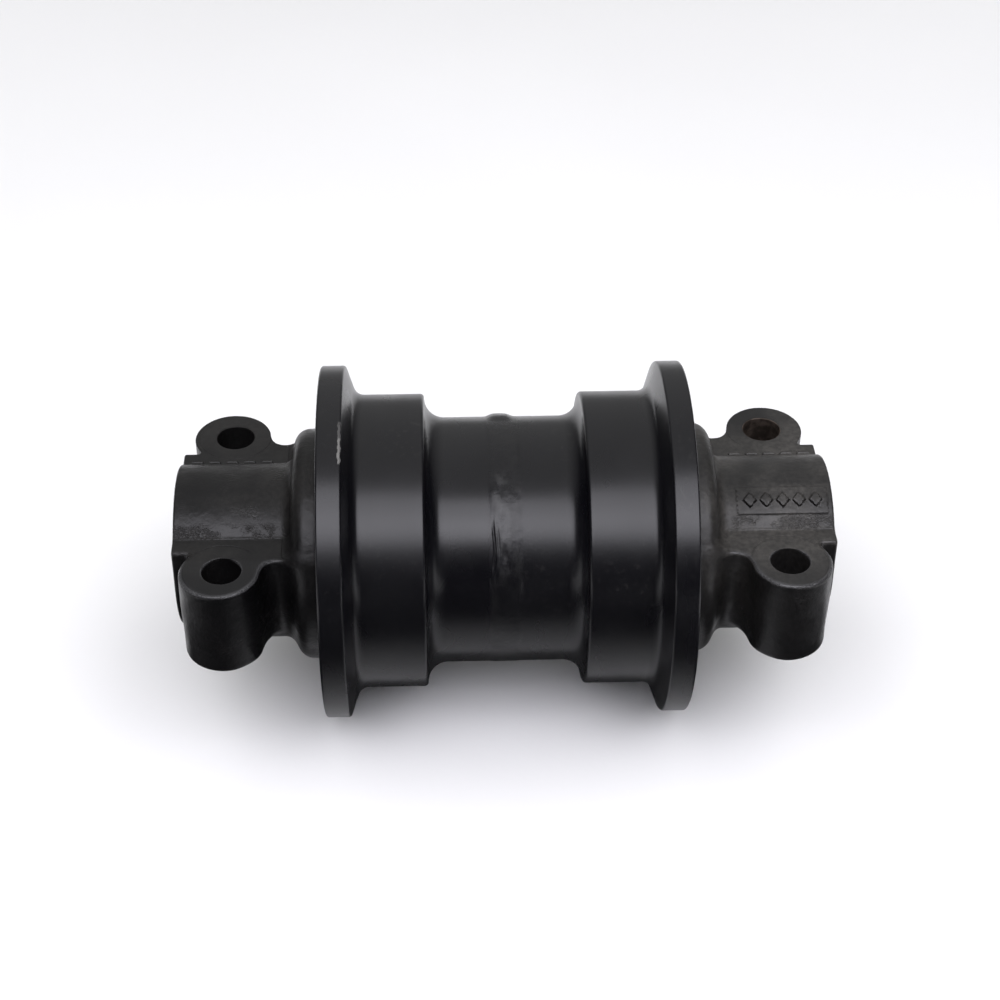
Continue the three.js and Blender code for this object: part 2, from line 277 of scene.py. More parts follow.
def waves(p, size, seed):
    """Smooth unevenness between about -1 and 1, made of a few sines of random direction."""
    random = np.random.default_rng(seed)
    total = np.zeros(len(p))
    for _ in range(10):
        direction = random.normal(size=3)
        direction *= 2 * math.pi / size / np.linalg.norm(direction) * random.uniform(0.6, 1.6)
        total += np.sin(p @ direction + random.uniform(0, 2 * math.pi))
    return total / math.sqrt(10)


def net(field, axes):
    """Vertices and quads of the field's zero surface, by naive surface nets on a grid with these lines."""
    gx, gy, gz = np.meshgrid(*axes, indexing="ij")
    shape = gx.shape
    grid = np.stack([gx.ravel(), gy.ravel(), gz.ravel()], 1)
    value = field(grid).reshape(shape)
    grid = grid.reshape(*shape, 3)
    cells = [n - 1 for n in shape]
    number = np.arange(np.prod(cells)).reshape(cells)
    total = np.zeros((number.size, 3))
    hits = np.zeros(number.size)
    quads = []
    for axis in range(3):
        u, v = (axis + 1) % 3, (axis + 2) % 3
        here = [slice(1, -1)] * 3
        here[axis] = slice(0, -1)
        there = list(here)
        there[axis] = slice(1, None)
        a, b = value[tuple(here)], value[tuple(there)]
        crossing = (a < 0) != (b < 0)
        t = (a / np.where(crossing, a - b, 1))[..., None]
        point = (grid[tuple(here)] * (1 - t) + grid[tuple(there)] * t)[crossing]
        corner = []
        for du, dv in ((-1, -1), (0, -1), (0, 0), (-1, 0)):
            pick = [None] * 3
            pick[axis] = slice(0, None)
            for which, shift in ((u, du), (v, dv)):
                pick[which] = slice(1 + shift, number.shape[which] + shift)
            corner.append(number[tuple(pick)][crossing])
        for c in corner:
            for k in range(3):
                total[:, k] += np.bincount(c, point[:, k], number.size)
            hits += np.bincount(c, minlength=number.size)
        outward = (a < 0)[crossing][:, None]
        ring = np.stack(corner, 1)
        quads.append(np.where(outward, ring, ring[:, ::-1]))
    used = np.flatnonzero(hits)
    place = np.full(number.size, -1)
    place[used] = np.arange(len(used))
    return total[used] / hits[used][:, None], place[np.concatenate(quads)]


def slope(field, p, step=0.02):
    """The field's gradient, by central differences."""
    parts = []
    for k in range(3):
        d = np.zeros(3)
        d[k] = step
        parts.append((field(p + d) - field(p - d)) / (2 * step))
    return np.stack(parts, 1)


def settle(field, p, rounds=6):
    """Moves points onto the zero surface and returns them with their outward normals."""
    for _ in range(rounds):
        g = slope(field, p)
        p = p - np.clip(field(p), -0.3, 0.3)[:, None] * g / np.maximum((g * g).sum(1), 0.25)[:, None]
    g = slope(field, p)
    return p, g / np.linalg.norm(g, axis=1)[:, None]


def lines(low, high, step, fine=(), fine_step=0.25, reach=1.2):
    """Grid lines from low to high, closer together within reach of each place in fine."""
    marks = [low]
    while marks[-1] < high:
        close = any(abs(marks[-1] + step / 2 - f) < reach + step / 2 for f in fine)
        marks.append(marks[-1] + (fine_step if close else step))
    return np.array(marks)


# ---- collars ------------------------------------------------------------------------------------------
CAST_STEP = 1.0
FINE_STEP = 0.3
CORE_WALL_INSET = 0.3
MACHINED_EDGE = 0.7
PAD_EDGE_FRONT = 2.2
PAD_EDGE_REAR = 0.7
CAST_EDGE = 1.2
BOSS_FILLET_TOP = 8.0
BOSS_FILLET_FOOT = 14.0
LUG_FILLET = 3.0
BELL_ROUND = 7.2
BELL_BACK = 95.0
BELL_DROOP = 2.4
NECK_DROOP = 2.0
MOUTH_EDGE = 4.4
FOOT_EDGE = 3.4
BELL_FILLET = 6.0
NECK_END = 113.0
SEAL_MOUTH_R = 43.6
SEAL_END_X = 90.0
NOSE_R = 31.0
NOSE_X = 66.6
PIN_TOP = 19.3
UNEVEN = 0.12
UNEVEN_SIZE = 17
UNEVEN_SEED = 3
UNEVEN_FADE = 2
RAISED_EDGE = 0.5
RAISED_ROOT = 3
PAD_LENGTH = 41.0
PAD_X = 125.0
PAD_ANGLE = 63.5
PAD_WIDTH = 13.5
PAD_HEIGHT = 0.5
LOZENGE_COUNT = 5
LOZENGE_PITCH = 7.4
LOZENGE_SIZE = (3.0, 3.6)
LOZENGE_SLOPE = 0.75
LOZENGE_HEIGHT = 1.3
TALLY_COUNT = 5
TALLY_START = 108.5
TALLY_PITCH = 8.0
TALLY_ANGLE = 131.0
TALLY_SIZE = (5.4, 3.6)
TALLY_HEIGHT = 1.6


def collar_body(p):
    """Casting of the right-hand collar, before its bores. Its pads' edges are softer at the front."""
    x, z = p[:, 0], p[:, 2]
    y = np.abs(p[:, 1])
    q = np.stack([x, y, z], 1)
    droop = np.clip(-z / BELL_R, 0, 1) ** 2
    core = barrel(p, CORE_R)
    core_wall = np.maximum(y - CORE_R + CORE_WALL_INSET, -z)
    neck = barrel(p, NECK_R) - NECK_DROOP * droop
    neck_wall = np.maximum(np.minimum(neck, np.maximum(y - NECK_R, -z)), x - NECK_END)
    boss = soft_cut(disc(q, BOSS_X, BOLT_Y, BOSS_R), BOSS_FOOT_Z - z, FOOT_EDGE)
    fillet = np.interp(z, (BOSS_FOOT_Z, FLAT_Z), (BOSS_FILLET_FOOT, BOSS_FILLET_TOP))
    lugs = soft_union(np.minimum(neck_wall, np.minimum(core, core_wall)), boss, fillet)
    lugs = np.where(x > BOSS_X, soft_union(np.minimum(core, core_wall), boss, LUG_FILLET), lugs)
    pad_edge = np.interp(p[:, 1], (-CORE_R, CORE_R), (PAD_EDGE_FRONT, PAD_EDGE_REAR))
    lugs = soft_cut(lugs, z - FLAT_Z, pad_edge)
    bell = soft_cut(barrel(p, BELL_R) - BELL_DROOP * droop, x - BELL_BACK, BELL_ROUND)
    body = soft_union(soft_union(lugs, core, CAST_EDGE), bell, BELL_FILLET)
    unevenness = UNEVEN * waves(p, UNEVEN_SIZE, UNEVEN_SEED)
    return body + unevenness * np.clip((FLAT_Z - z) / UNEVEN_FADE, 0, 1)


def arc_place(p, at):
    """Distance round the core in millimetres, from the angle at in degrees above the front (-Y)."""
    return (np.degrees(np.arctan2(p[:, 2], -p[:, 1])) - at) * math.radians(CORE_R)


def raised(body, p, plan, height):
    """Adds a low plain boss of that plan to the core's round surface."""
    top = barrel(p, CORE_R)
    boss = np.maximum(soft_cut(plan, top - height, RAISED_EDGE), -top - RAISED_ROOT)
    return soft_union(body, boss, RAISED_EDGE)


def tally_marks(body, p):
    """Row of plain raised bars, along the rear of the core."""
    up = np.abs(arc_place(p, TALLY_ANGLE)) - TALLY_SIZE[1] / 2
    for k in range(TALLY_COUNT):
        across = np.abs(p[:, 0] - (TALLY_START + TALLY_PITCH * k)) - TALLY_SIZE[0] / 2
        body = raised(body, p, np.maximum(across, up), TALLY_HEIGHT)
    return body


def blank_pad(body, p):
    """Low raised pad on the front of the core, with a row of plain lozenges."""
    across = np.abs(p[:, 0] - PAD_X) - PAD_LENGTH / 2
    up = np.abs(arc_place(p, PAD_ANGLE))
    body = raised(body, p, np.maximum(across, up - PAD_WIDTH / 2), PAD_HEIGHT)
    for k in range(LOZENGE_COUNT):
        middle = PAD_X + LOZENGE_PITCH * (k - (LOZENGE_COUNT - 1) / 2)
        measure = np.abs(p[:, 0] - middle) / LOZENGE_SIZE[0] + up / LOZENGE_SIZE[1]
        plan = (measure - 1) * min(LOZENGE_SIZE) * LOZENGE_SLOPE
        body = raised(body, p, plan, PAD_HEIGHT + LOZENGE_HEIGHT)
    return body


def collar_field(p, with_pad):
    """Right-hand collar with its marks, machined faces, bores and seal cavity."""
    x, z = p[:, 0], p[:, 2]
    q = np.stack([x, np.abs(p[:, 1]), z], 1)
    body = tally_marks(collar_body(p), p)
    if with_pad:
        body = blank_pad(body, p)
    body = soft_cut(body, x - END_X, CAST_EDGE)
    body = soft_cut(body, BELL_MOUTH - x, MOUTH_EDGE)
    body = np.maximum(body, -np.maximum(barrel(p, SEAL_MOUTH_R), x - SEAL_END_X))
    body = np.minimum(body, np.maximum(barrel(p, NOSE_R), np.maximum(NOSE_X - x, x - SEAL_END_X - 1)))
    body = soft_cut(body, -disc(q, BOLT_X, BOLT_Y, BOLT_HOLE_R), MACHINED_EDGE)
    body = np.maximum(body, -np.maximum(disc(p, BOLT_X, PIN_Y, PIN_HOLE_R), z - PIN_TOP))
    return soft_cut(body, -barrel(p, BORE_R), CAST_EDGE)


def collar(name, side, with_pad):
    """The casting as a mesh. Its grid ends clear of the shape on every side, so the surface is closed."""
    half = BOLT_Y + BOSS_R + 1.9
    axes = (
        lines(NOSE_X - 1.3, END_X + 1.5, CAST_STEP, (END_X, BELL_MOUTH), FINE_STEP),
        lines(-half, half, CAST_STEP),
        lines(-BELL_R - BELL_DROOP - 1.6, BELL_R + 2, CAST_STEP, (FLAT_Z, BOSS_FOOT_Z), FINE_STEP),
    )

    def field(p):
        return collar_field(p, with_pad)

    points, quads = net(field, axes)
    points, normals = settle(field, points)
    if side < 0:
        points, normals, quads = points * (-1, 1, 1), normals * (-1, 1, 1), quads[:, ::-1]
    return mesh_object(name, points, quads, normals)


# ---- shell --------------------------------------------------------------------------------------------
SEAL_TAPER_X = 77.0
SEAL_STEP_X = 69.8
SEAL_SEAT_X = 69.2
SEAL_SEAT_R = 40.6
BUSH_FLANGE_X = 62.0
BUSH_FLANGE_R = 36.8
BUSH_R = 28.65
OIL_ROOM_X = 19.5
OIL_ROOM_R = 31.0

# Weld seam: x in millimetres and angles in degrees from the top, negative at the front, each with its reach.
# SEAM_ROWS are the finer rows from x to x with a step, and the waves have a size and a seed.
SEAM_X = -0.5
SEAM_HALF = 6.0
SEAM_EDGE = 0.45
SEAM_HEIGHT = 0.22
SEAM_ROWS = (-10, 10, 0.4)
ROUGH_WAVES = (6, 11)
SOFT_WAVES = (22, 12)
FLAT_TOP = 4
SCAR_ANGLE = (-43, 26, FLAT_TOP)
SMEAR_ANGLE = (-30, 15, FLAT_TOP)
SMEAR_X = (-3.2, 2.2)
SMEAR_HEIGHT = 0.2
DENT_ANGLE = (-52, 13, FLAT_TOP)
DENT_X = (-1.5, 2.6, FLAT_TOP)
DENT_DEPTH = 0.3
LONG_GROOVE_ANGLE = (-56, 13, FLAT_TOP)
LONG_GROOVE_X = (-5.6, 0.7)
LONG_GROOVE_DEPTH = 0.75
SHORT_GROOVE_ANGLE = (-53, 8, FLAT_TOP)
SHORT_GROOVE_X = (-3.5, 0.6)
SHORT_GROOVE_DEPTH = 0.4
SHORT_GROOVE_LEAN = 0.06
BEAD_ANGLE = (33, 11, FLAT_TOP)
BEAD_X = (-0.9, 4.8, FLAT_TOP)
BEAD_HEIGHT = 1.2


def ridge(value, middle, width, power=2):
    """1 at the middle, falling off over the width. A power of 4 or more makes a flat top."""
    return np.exp(-np.abs((value - middle) / width) ** power)


def seam_relief(x, angle):
    """Height of the weld seam on the waist: a low band, scarred at the front, and a bead behind the top."""
    p = np.stack([x.ravel(), WAIST_R * np.sin(angle).ravel(), WAIST_R * np.cos(angle).ravel()], 1)
    drawn_out = np.stack([x.ravel(), 0.4 * WAIST_R * angle.ravel(), np.zeros(x.size)], 1)
    rough = waves(drawn_out, *ROUGH_WAVES).reshape(x.shape)
    soft = waves(p, *SOFT_WAVES).reshape(x.shape)
    turn = np.degrees(angle)
    turn = np.where(turn > 180, turn - 360, turn)
    past_edge = (np.abs(x - SEAM_X) - SEAM_HALF - 0.5 * soft) / SEAM_EDGE
    band = 1 / (1 + np.exp(np.clip(past_edge, -30, 30)))
    scar = ridge(turn, *SCAR_ANGLE)
    smear = SMEAR_HEIGHT * ridge(turn, *SMEAR_ANGLE) * ridge(x, *SMEAR_X) * (0.6 + rough)
    dents = -DENT_DEPTH * ridge(turn, *DENT_ANGLE) * ridge(x, *DENT_X) * np.clip(rough, 0, 1.5)
    grooves = -LONG_GROOVE_DEPTH * ridge(turn, *LONG_GROOVE_ANGLE) * ridge(x + 0.4 * soft, *LONG_GROOVE_X)
    leaning = x + SHORT_GROOVE_LEAN * (turn - SHORT_GROOVE_ANGLE[0])
    grooves -= SHORT_GROOVE_DEPTH * ridge(turn, *SHORT_GROOVE_ANGLE) * ridge(leaning, *SHORT_GROOVE_X)
    bead = BEAD_HEIGHT * ridge(x, *BEAD_X) * ridge(turn, *BEAD_ANGLE)
    return band * (SEAM_HEIGHT + 0.08 * soft + 0.06 * scar * rough) + smear + dents + grooves + bead


def shell():
    rim_in = FLANGE_OUT - RIM_WIDTH
    outside = [
        (TREAD_IN - 0.8, WAIST_R, 9.0),
        (TREAD_IN, TREAD_R, 1.6),
        (66.5, TREAD_R, 5),
        (rim_in, FLANGE_R, 1.3),
        (FLANGE_OUT, FLANGE_R, 1.2),
    ]
    inside = [
        (FLANGE_OUT, RECESS_R, 0.8),
        (RECESS_FLOOR, RECESS_R, 0.8),
        (RECESS_FLOOR, SEAL_MOUTH_R, 0.5),
        (SEAL_TAPER_X, SEAL_MOUTH_R, 0.5),
        (SEAL_STEP_X, SEAL_SEAT_R, 0.2),
        (SEAL_SEAT_X, SEAL_SEAT_R, 0.2),
        (SEAL_SEAT_X, BUSH_FLANGE_R, 0.3),
        (BUSH_FLANGE_X, BUSH_FLANGE_R, 0.3),
        (BUSH_FLANGE_X, BUSH_R, 0.3),
        (OIL_ROOM_X, BUSH_R, 0.3),
        (OIL_ROOM_X, OIL_ROOM_R, 0.3),
    ]
    outline = [*mirror(outside), *outside, *inside, *mirror(inside)]
    return turned("shell", outline, SHELL_SEGMENTS, relief=seam_relief, refine=SEAM_ROWS)


# ---- axle, plug and pins ------------------------------------------------------------------------------
SHAFT_R = 24.0
SHAFT_END = 146.0
OIL_HOLE_R = 4.5
OIL_HOLE_END = -8
FEED_HOLE_R = 4
CENTRE_DEPTH = 4
CENTRE_R = 3.4
CHAMFER = 2
GROOVE_X = (101.6, 106.4)
GROOVE_R = 20.8
PLUG_SEAT = 141.0
PLUG_R = 6.85
PLUG_GAP = 0.3
PLUG_HEAD_R = 10.2
PLUG_RING_R = 9.4
PLUG_RING_DEPTH = 2.3
SOCKET_FLATS = 8.0
PIN_FOOT = -30.5


def rod(radius, length, sides=ROUND_SEGMENTS):
    """A plain cutter, a cylinder or prism along +X from the origin."""
    return turned("cutter", [(0, radius, 0.01), (length, radius, 0.01)], sides, closed=False)


def axle():
    low, high = GROOVE_X
    groove = [(low, SHAFT_R), (low, GROOVE_R), (high, GROOVE_R), (high, SHAFT_R)]
    outline = [
        (-SHAFT_END + CENTRE_DEPTH, 0.4, 0.1),
        (-SHAFT_END, CENTRE_R, 0.2),
        (-SHAFT_END, SHAFT_R - CHAMFER, 0.4),
        (-SHAFT_END + CHAMFER, SHAFT_R, 0.4),
        *mirror(groove),
        *groove,
        (SHAFT_END - CHAMFER, SHAFT_R, 0.4),
        (SHAFT_END, SHAFT_R - CHAMFER, 0.4),
        (SHAFT_END, PLUG_HEAD_R + PLUG_GAP, 0.4),
        (PLUG_SEAT, PLUG_HEAD_R + PLUG_GAP, 0.2),
        (PLUG_SEAT, PLUG_RING_R, 0.2),
        (PLUG_SEAT - PLUG_RING_DEPTH, PLUG_RING_R, 0.2),
        (PLUG_SEAT - PLUG_RING_DEPTH, PLUG_R + PLUG_GAP, 0.2),
        (PLUG_SEAT - 14, PLUG_R + PLUG_GAP, 0.2),
        (PLUG_SEAT - 14, OIL_HOLE_R, 0.2),
        (OIL_HOLE_END, OIL_HOLE_R, 0.2),
        (OIL_HOLE_END - 2, 0.4, 0.1),
    ]
    cutters = [upright(rod(PIN_HOLE_R, 60), x, PIN_Y, -30) for x in (-BOLT_X, BOLT_X)]
    cutters.append(upright(rod(FEED_HOLE_R, 30), 0, 0, 0))
    return carve(turned("axle", outline, closed=False), cutters)


def lock_pin(name, side):
    length = PIN_TOP - PIN_FOOT - 0.3
    outline = [
        (0, PIN_R - 1.4, 0.3),
        (0.5, PIN_R - 1, 0.3),
        (1.2, PIN_R, 0.4),
        (length - 1, PIN_R, 0.4),
        (length, PIN_R - 1, 0.3),
    ]
    return upright(turned(name, outline, closed=False), side * BOLT_X, PIN_Y, PIN_FOOT)


def fill_plug():
    head = PLUG_SEAT + PLUG_GAP
    outline = [
        (PLUG_SEAT - 13, PLUG_R - 1, 0.2),
        (PLUG_SEAT - 12, PLUG_R, 0.2),
        (head, PLUG_R, 0.2),
        (head, PLUG_HEAD_R, 0.3),
        (head + 4, PLUG_HEAD_R, 0.7),
        (head + 4, 5.6, 0.2),
        (head + 3.4, 4.9, 0.2),
    ]
    socket = rod(SOCKET_FLATS / 2 / math.cos(math.pi / 6), 8, 6)
    socket.data.transform(Matrix.Translation(Vector((head - 2, 0, 0)) * MM))
    return carve(turned("plug", outline, closed=False), [socket])


# ---- materials ----------------------------------------------------------------------------------------
SHELL_BLACK = ((0.0014, 0.0013, 0.0024), (0.0028, 0.0027, 0.0038))
SEAM_GREY = (0.008, 0.0077, 0.0075)
SCAR_GREY = (0.030, 0.030, 0.031)
GRIT = (0.030, 0.029, 0.028)
BARE_EDGE = (0.22, 0.215, 0.21)
CAST_BLACK = ((0.0018, 0.0017, 0.0021), (0.0036, 0.0034, 0.0036))
PALE_DUST = (0.072, 0.067, 0.061)
PITTED_GREY = (0.024, 0.022, 0.021)
# painted highlight colour for the front pads' edge
RIM_HIGHLIGHT_GREY = (0.052, 0.052, 0.054)
RUST = ((0.05, 0.040, 0.033), (0.135, 0.108, 0.09))
LEFT_DUSTY = 0.17
RIGHT_DUSTY = 0.75

# Places on the paint, in metres, and in degrees as Material.angle gives them.
SEAM_REACH = 0.006
SCAR_X = -0.0015
SCAR_PLACE = 47
NICK_X = -0.0718
NICK_PLACE = 68.2
NICK_FAINT_PLACE = 71.5
FLAT_START_X = 0.0955
ROOT_Z = 0.0265
ROOT_Y = -0.02
ROOT_START_X = 0.100
SPOT_FACE_R = 0.0171
BARE_HOLE_R = 0.0090
WIPED_PLACE = 96
WIPED_START_X = 0.106
CLEAN_Y = -0.062
DUSTY_Y = -0.042
# where the painted highlight along the front pads' edge lies
RIM_DROP = 0.65 * MM
RIM_Y = -0.040
RIM_START_X = 0.098


class Material:
    """Builds one material. The masks' methods add nodes and return an output, and places are in metres."""

    def __init__(self, name):
        self.material = bpy.data.materials.new(name)
        self.material.use_nodes = True
        self.tree = self.material.node_tree
        self.shader = self.tree.nodes["Principled BSDF"]
        self.place = self.add("ShaderNodeTexCoord").outputs["Object"]
        split = self.add("ShaderNodeSeparateXYZ", {"Vector": self.place})
        self.x, self.y, self.z = split.outputs

    def add(self, kind, inputs=None, **settings):
        node = self.tree.nodes.new(kind)
        for key, value in settings.items():
            setattr(node, key, value)
        for key, value in (inputs or {}).items():
            self.feed(node.inputs[key], value)
        return node

    def feed(self, socket, value):
        if isinstance(value, bpy.types.NodeSocket):
            self.tree.links.new(value, socket)
        else:
            socket.default_value = value

    def math(self, operation, a, b=0.0):
        return self.add("ShaderNodeMath", {0: a, 1: b}, operation=operation).outputs[0]

    def noise(self, scale, detail=2.0, stretch=(1, 1, 1), rough=0.5):
        """Noise with features about 1 / scale metres across, drawn out by stretch."""
        squeezed = self.add("ShaderNodeMapping", {"Vector": self.place, "Scale": stretch}).outputs[0]
        inputs = {"Vector": squeezed, "Scale": scale, "Detail": detail, "Roughness": rough}
        return self.add("ShaderNodeTexNoise", inputs).outputs["Fac"]

    def cells(self, scale):
        """Distance to the nearest of many scattered points."""
        return self.add("ShaderNodeTexVoronoi", {"Vector": self.place, "Scale": scale}).outputs["Distance"]

    def ramp(self, value, low, high, to_low=0.0, to_high=1.0):
        """Smooth step of value between low and high."""
        inputs = {"Value": value, "From Min": low, "From Max": high, "To Min": to_low, "To Max": to_high}
        return self.add("ShaderNodeMapRange", inputs, interpolation_type="SMOOTHSTEP").outputs[0]

    def near(self, value, middle, reach, soft, top=1.0):
        """The height top where value is within reach of middle, falling to 0 over soft."""
        away = self.math("ABSOLUTE", self.math("SUBTRACT", value, middle))
        return self.ramp(away, reach, reach + soft, top, 0.0)

    def both(self, *masks):
        """The masks multiplied together, so what all of them cover."""
        total = masks[0]
        for mask in masks[1:]:
            total = self.math("MULTIPLY", total, mask)
        return total

    def mix(self, factor, a, b):
        node = self.add("ShaderNodeMix", data_type="RGBA")
        for socket, value in ((node.inputs[0], factor), (node.inputs[6], a), (node.inputs[7], b)):
            self.feed(socket, (*value, 1) if isinstance(value, tuple) else value)
        return node.outputs[2]

    def bump(self, height, depth, under=None):
        """Raises the surface by height times depth, on top of an earlier bump."""
        inputs = {"Height": height, "Distance": depth, "Strength": 1.0}
        if under is not None:
            inputs["Normal"] = under
        return self.add("ShaderNodeBump", inputs).outputs[0]

    def angle(self):
        """Degrees about the axle, 0 at the front (-Y) and 90 at the top."""
        turn = self.math("ARCTAN2", self.z, self.math("MULTIPLY", self.y, -1.0))
        return self.math("MULTIPLY", turn, math.degrees(1))

    def finish(self, color, rough, normal, metal=0.0):
        looks = {"Base Color": color, "Roughness": rough, "Normal": normal, "Metallic": metal}
        for key, value in looks.items():
            self.feed(self.shader.inputs[key], value)
        return self.material


def shell_paint():
    m = Material("satin_black_paint")
    cloud = m.noise(28, 3)
    rings = m.noise(16, 3, (70, 1, 1))
    streak = m.noise(60, 3, (1, 0.12, 0.12))
    seam = m.both(m.near(m.x, 0, SEAM_REACH, 0.002), m.ramp(m.noise(150, 4), 0.4, 0.65))
    dust = m.both(m.ramp(m.noise(420, 4), 0.56, 0.7), m.ramp(m.noise(22, 2), 0.45, 0.7))
    color = m.mix(m.ramp(cloud, 0.35, 0.7), *SHELL_BLACK)
    scar = m.both(seam, m.near(m.angle(), SCAR_PLACE, 18, 8), m.near(m.x, SCAR_X, 0.002, 0.002))
    color = m.mix(m.math("MULTIPLY", seam, 0.3), color, SEAM_GREY)
    color = m.mix(m.math("MULTIPLY", scar, 0.6), color, SCAR_GREY)
    color = m.mix(m.math("MULTIPLY", dust, 0.25), color, GRIT)
    wander = m.ramp(m.noise(300, 3), 0.3, 0.7, -0.0004, 0.0004)
    bright = m.near(m.angle(), NICK_PLACE, 4.0, 1.0)
    bright = m.math("MAXIMUM", bright, m.near(m.angle(), NICK_FAINT_PLACE, 7.0, 1.0, 0.3))
    nick = m.both(m.near(m.math("ADD", m.x, wander), NICK_X, 0.0005, 0.0002), bright,
                  m.ramp(m.noise(110, 4), 0.44, 0.5))
    speck = m.ramp(m.cells(34), 0.009, 0.016, 1.0, 0.0)
    color = m.mix(m.math("MAXIMUM", nick, m.math("MULTIPLY", speck, 0.4)), color, BARE_EDGE)
    uneven = m.math("ADD", m.math("MULTIPLY", streak, 0.5), m.math("MULTIPLY", cloud, 0.5))
    rough = m.math("ADD", m.ramp(uneven, 0.3, 0.7, 0.25, 0.32), m.math("MULTIPLY", seam, 0.07))
    normal = m.bump(m.noise(950, 2), 0.000012)
    normal = m.bump(rings, 0.00002, normal)
    normal = m.bump(m.both(m.noise(300, 3), m.near(m.x, 0, SEAM_REACH, 0.002)), 0.00015, normal)
    return m.finish(color, rough, normal, m.math("MULTIPLY", nick, 0.6))


def cast_paint(name, dusty, bare_hole):
    """Paint over a casting. dusty is how much pale dust lies on it.

    bare_hole leaves the rear bolt hole unpainted.
    """
    m = Material(name)
    m.shader.inputs["Specular IOR Level"].default_value = 0.31 + 0.21 * dusty
    cloud = m.noise(30, 3)
    outboard = m.math("ABSOLUTE", m.x)
    across_face = m.add("ShaderNodeTexCoord").outputs["Normal"]
    facing = m.add("ShaderNodeSeparateXYZ", {"Vector": across_face}).outputs["Z"]
    machined = m.both(m.near(m.z, FLAT_Z * MM, 0.0002, 0.0002),
                      m.ramp(outboard, FLAT_START_X, FLAT_START_X + 0.001), m.ramp(facing, 0.6, 0.9))
    cast = m.math("SUBTRACT", 1.0, machined)

    # rough skin of the sand mould, roughest where the core meets the front flat
    front_root = m.both(m.near(m.z, ROOT_Z, 0.0012, 0.0035), m.ramp(m.y, ROOT_Y, ROOT_Y - 0.004),
                        m.ramp(outboard, ROOT_START_X, ROOT_START_X + 0.004))
    root = m.both(front_root, m.ramp(m.noise(90, 3), 0.36, 0.55))
    patches = m.math("MULTIPLY", m.ramp(m.noise(70, 4), 0.56, 0.66), 0.3)
    pores = m.ramp(m.noise(1000, 4, (0.7, 1, 1)), 0.34, 0.7)
    pitted = m.both(pores, m.math("MAXIMUM", root, patches), cast)

    # spot face round the bolt hole, with its turning marks
    across = m.math("SUBTRACT", m.math("ABSOLUTE", m.x), BOLT_X * MM)
    down = m.math("SUBTRACT", m.math("ABSOLUTE", m.y), BOLT_Y * MM)
    squares = m.math("ADD", m.math("MULTIPLY", across, across), m.math("MULTIPLY", down, down))
    from_hole = m.math("SQRT", squares)
    ring = m.both(m.near(from_hole, SPOT_FACE_R, 0.0001, 0.00022), machined,
                  m.ramp(m.noise(32, 2), 0.46, 0.56))
    turning = m.both(m.math("SINE", m.math("MULTIPLY", from_hole, 9000.0)),
                     m.ramp(from_hole, SPOT_FACE_R, SPOT_FACE_R + 0.0002, 1.0, 0.0), machined)

    # dust lies on what faces up, but was wiped off in places and off the front rim
    wiped = m.both(m.near(m.angle(), WIPED_PLACE, 16, 8),
                   m.ramp(outboard, WIPED_START_X, WIPED_START_X + 0.007), m.ramp(m.noise(45, 2), 0.3, 0.5))
    settled = m.both(m.ramp(facing, -0.1, 0.8, 0.3, 1.0),
                     m.math("SUBTRACT", 1.0, m.math("MULTIPLY", wiped, 0.6)),
                     m.ramp(m.y, CLEAN_Y, DUSTY_Y, 0.35, 1.0))
    dust = m.both(m.ramp(m.noise(480, 5, rough=0.7), 0.3, 0.7, 0.35, 1.0),
                  m.ramp(m.noise(24, 3), 0.25, 0.7), settled)
    color = m.mix(m.ramp(cloud, 0.35, 0.7), *CAST_BLACK)
    color = m.mix(m.math("MULTIPLY", dust, dusty), color, PALE_DUST)
    color = m.mix(m.math("MULTIPLY", pitted, 0.5), color, PITTED_GREY)

    # painted highlight on the front pads' rounded edge: a lighter grey, with smoother paint there
    rim = m.both(m.near(m.z, FLAT_Z * MM - RIM_DROP, 0.0004, 0.0003), m.ramp(m.y, RIM_Y, RIM_Y - 0.003),
                 m.ramp(outboard, RIM_START_X, RIM_START_X + 0.003),
                 m.ramp(m.noise(38, 2), 0.35, 0.6, 0.35, 1.0))
    color = m.mix(m.math("MULTIPLY", rim, 0.8), color, RIM_HIGHLIGHT_GREY)
    metal = 0.0
    if bare_hole:
        inside = m.ramp(from_hole, BARE_HOLE_R, BARE_HOLE_R + 0.0002, 1.0, 0.0)
        bare = m.both(inside, m.ramp(m.y, 0.0, 0.001))
        rust = m.mix(m.ramp(m.noise(220, 4), 0.35, 0.65), *RUST)
        color = m.mix(bare, color, rust)
        metal = m.math("MULTIPLY", bare, 0.7)
    rough = m.ramp(m.noise(90, 4), 0.3, 0.7, 0.31, 0.43)
    rough = m.math("ADD", rough, m.math("MULTIPLY", dust, 0.15 * dusty))
    rough = m.math("SUBTRACT", rough, m.math("MULTIPLY", rim, 0.14))

    keep = m.math("SUBTRACT", 1.0, m.math("MULTIPLY", machined, 0.8))
    normal = m.bump(m.math("MULTIPLY", m.noise(520, 4, rough=0.6), keep), 0.00012)
    normal = m.bump(m.math("MULTIPLY", m.noise(150, 2), keep), 0.00035, normal)
    normal = m.bump(m.math("MULTIPLY", pitted, -1.0), 0.0003, normal)
    normal = m.bump(ring, -0.00012, normal)
    normal = m.bump(turning, 0.000003, normal)
    return m.finish(color, rough, normal, metal)


def turned_metal(name, dark, light, rough, line=0.00002):
    """Machined metal with fine lines round the axle."""
    m = Material(name)
    lines_round = m.noise(30, 4, (90, 1, 1))
    color = m.mix(m.ramp(m.noise(60, 4), 0.35, 0.65), dark, light)
    normal = m.bump(lines_round, line)
    uneven = m.ramp(m.noise(140, 3), 0.3, 0.7, rough - 0.06, rough + 0.08)
    return m.finish(color, uneven, normal, 1.0)


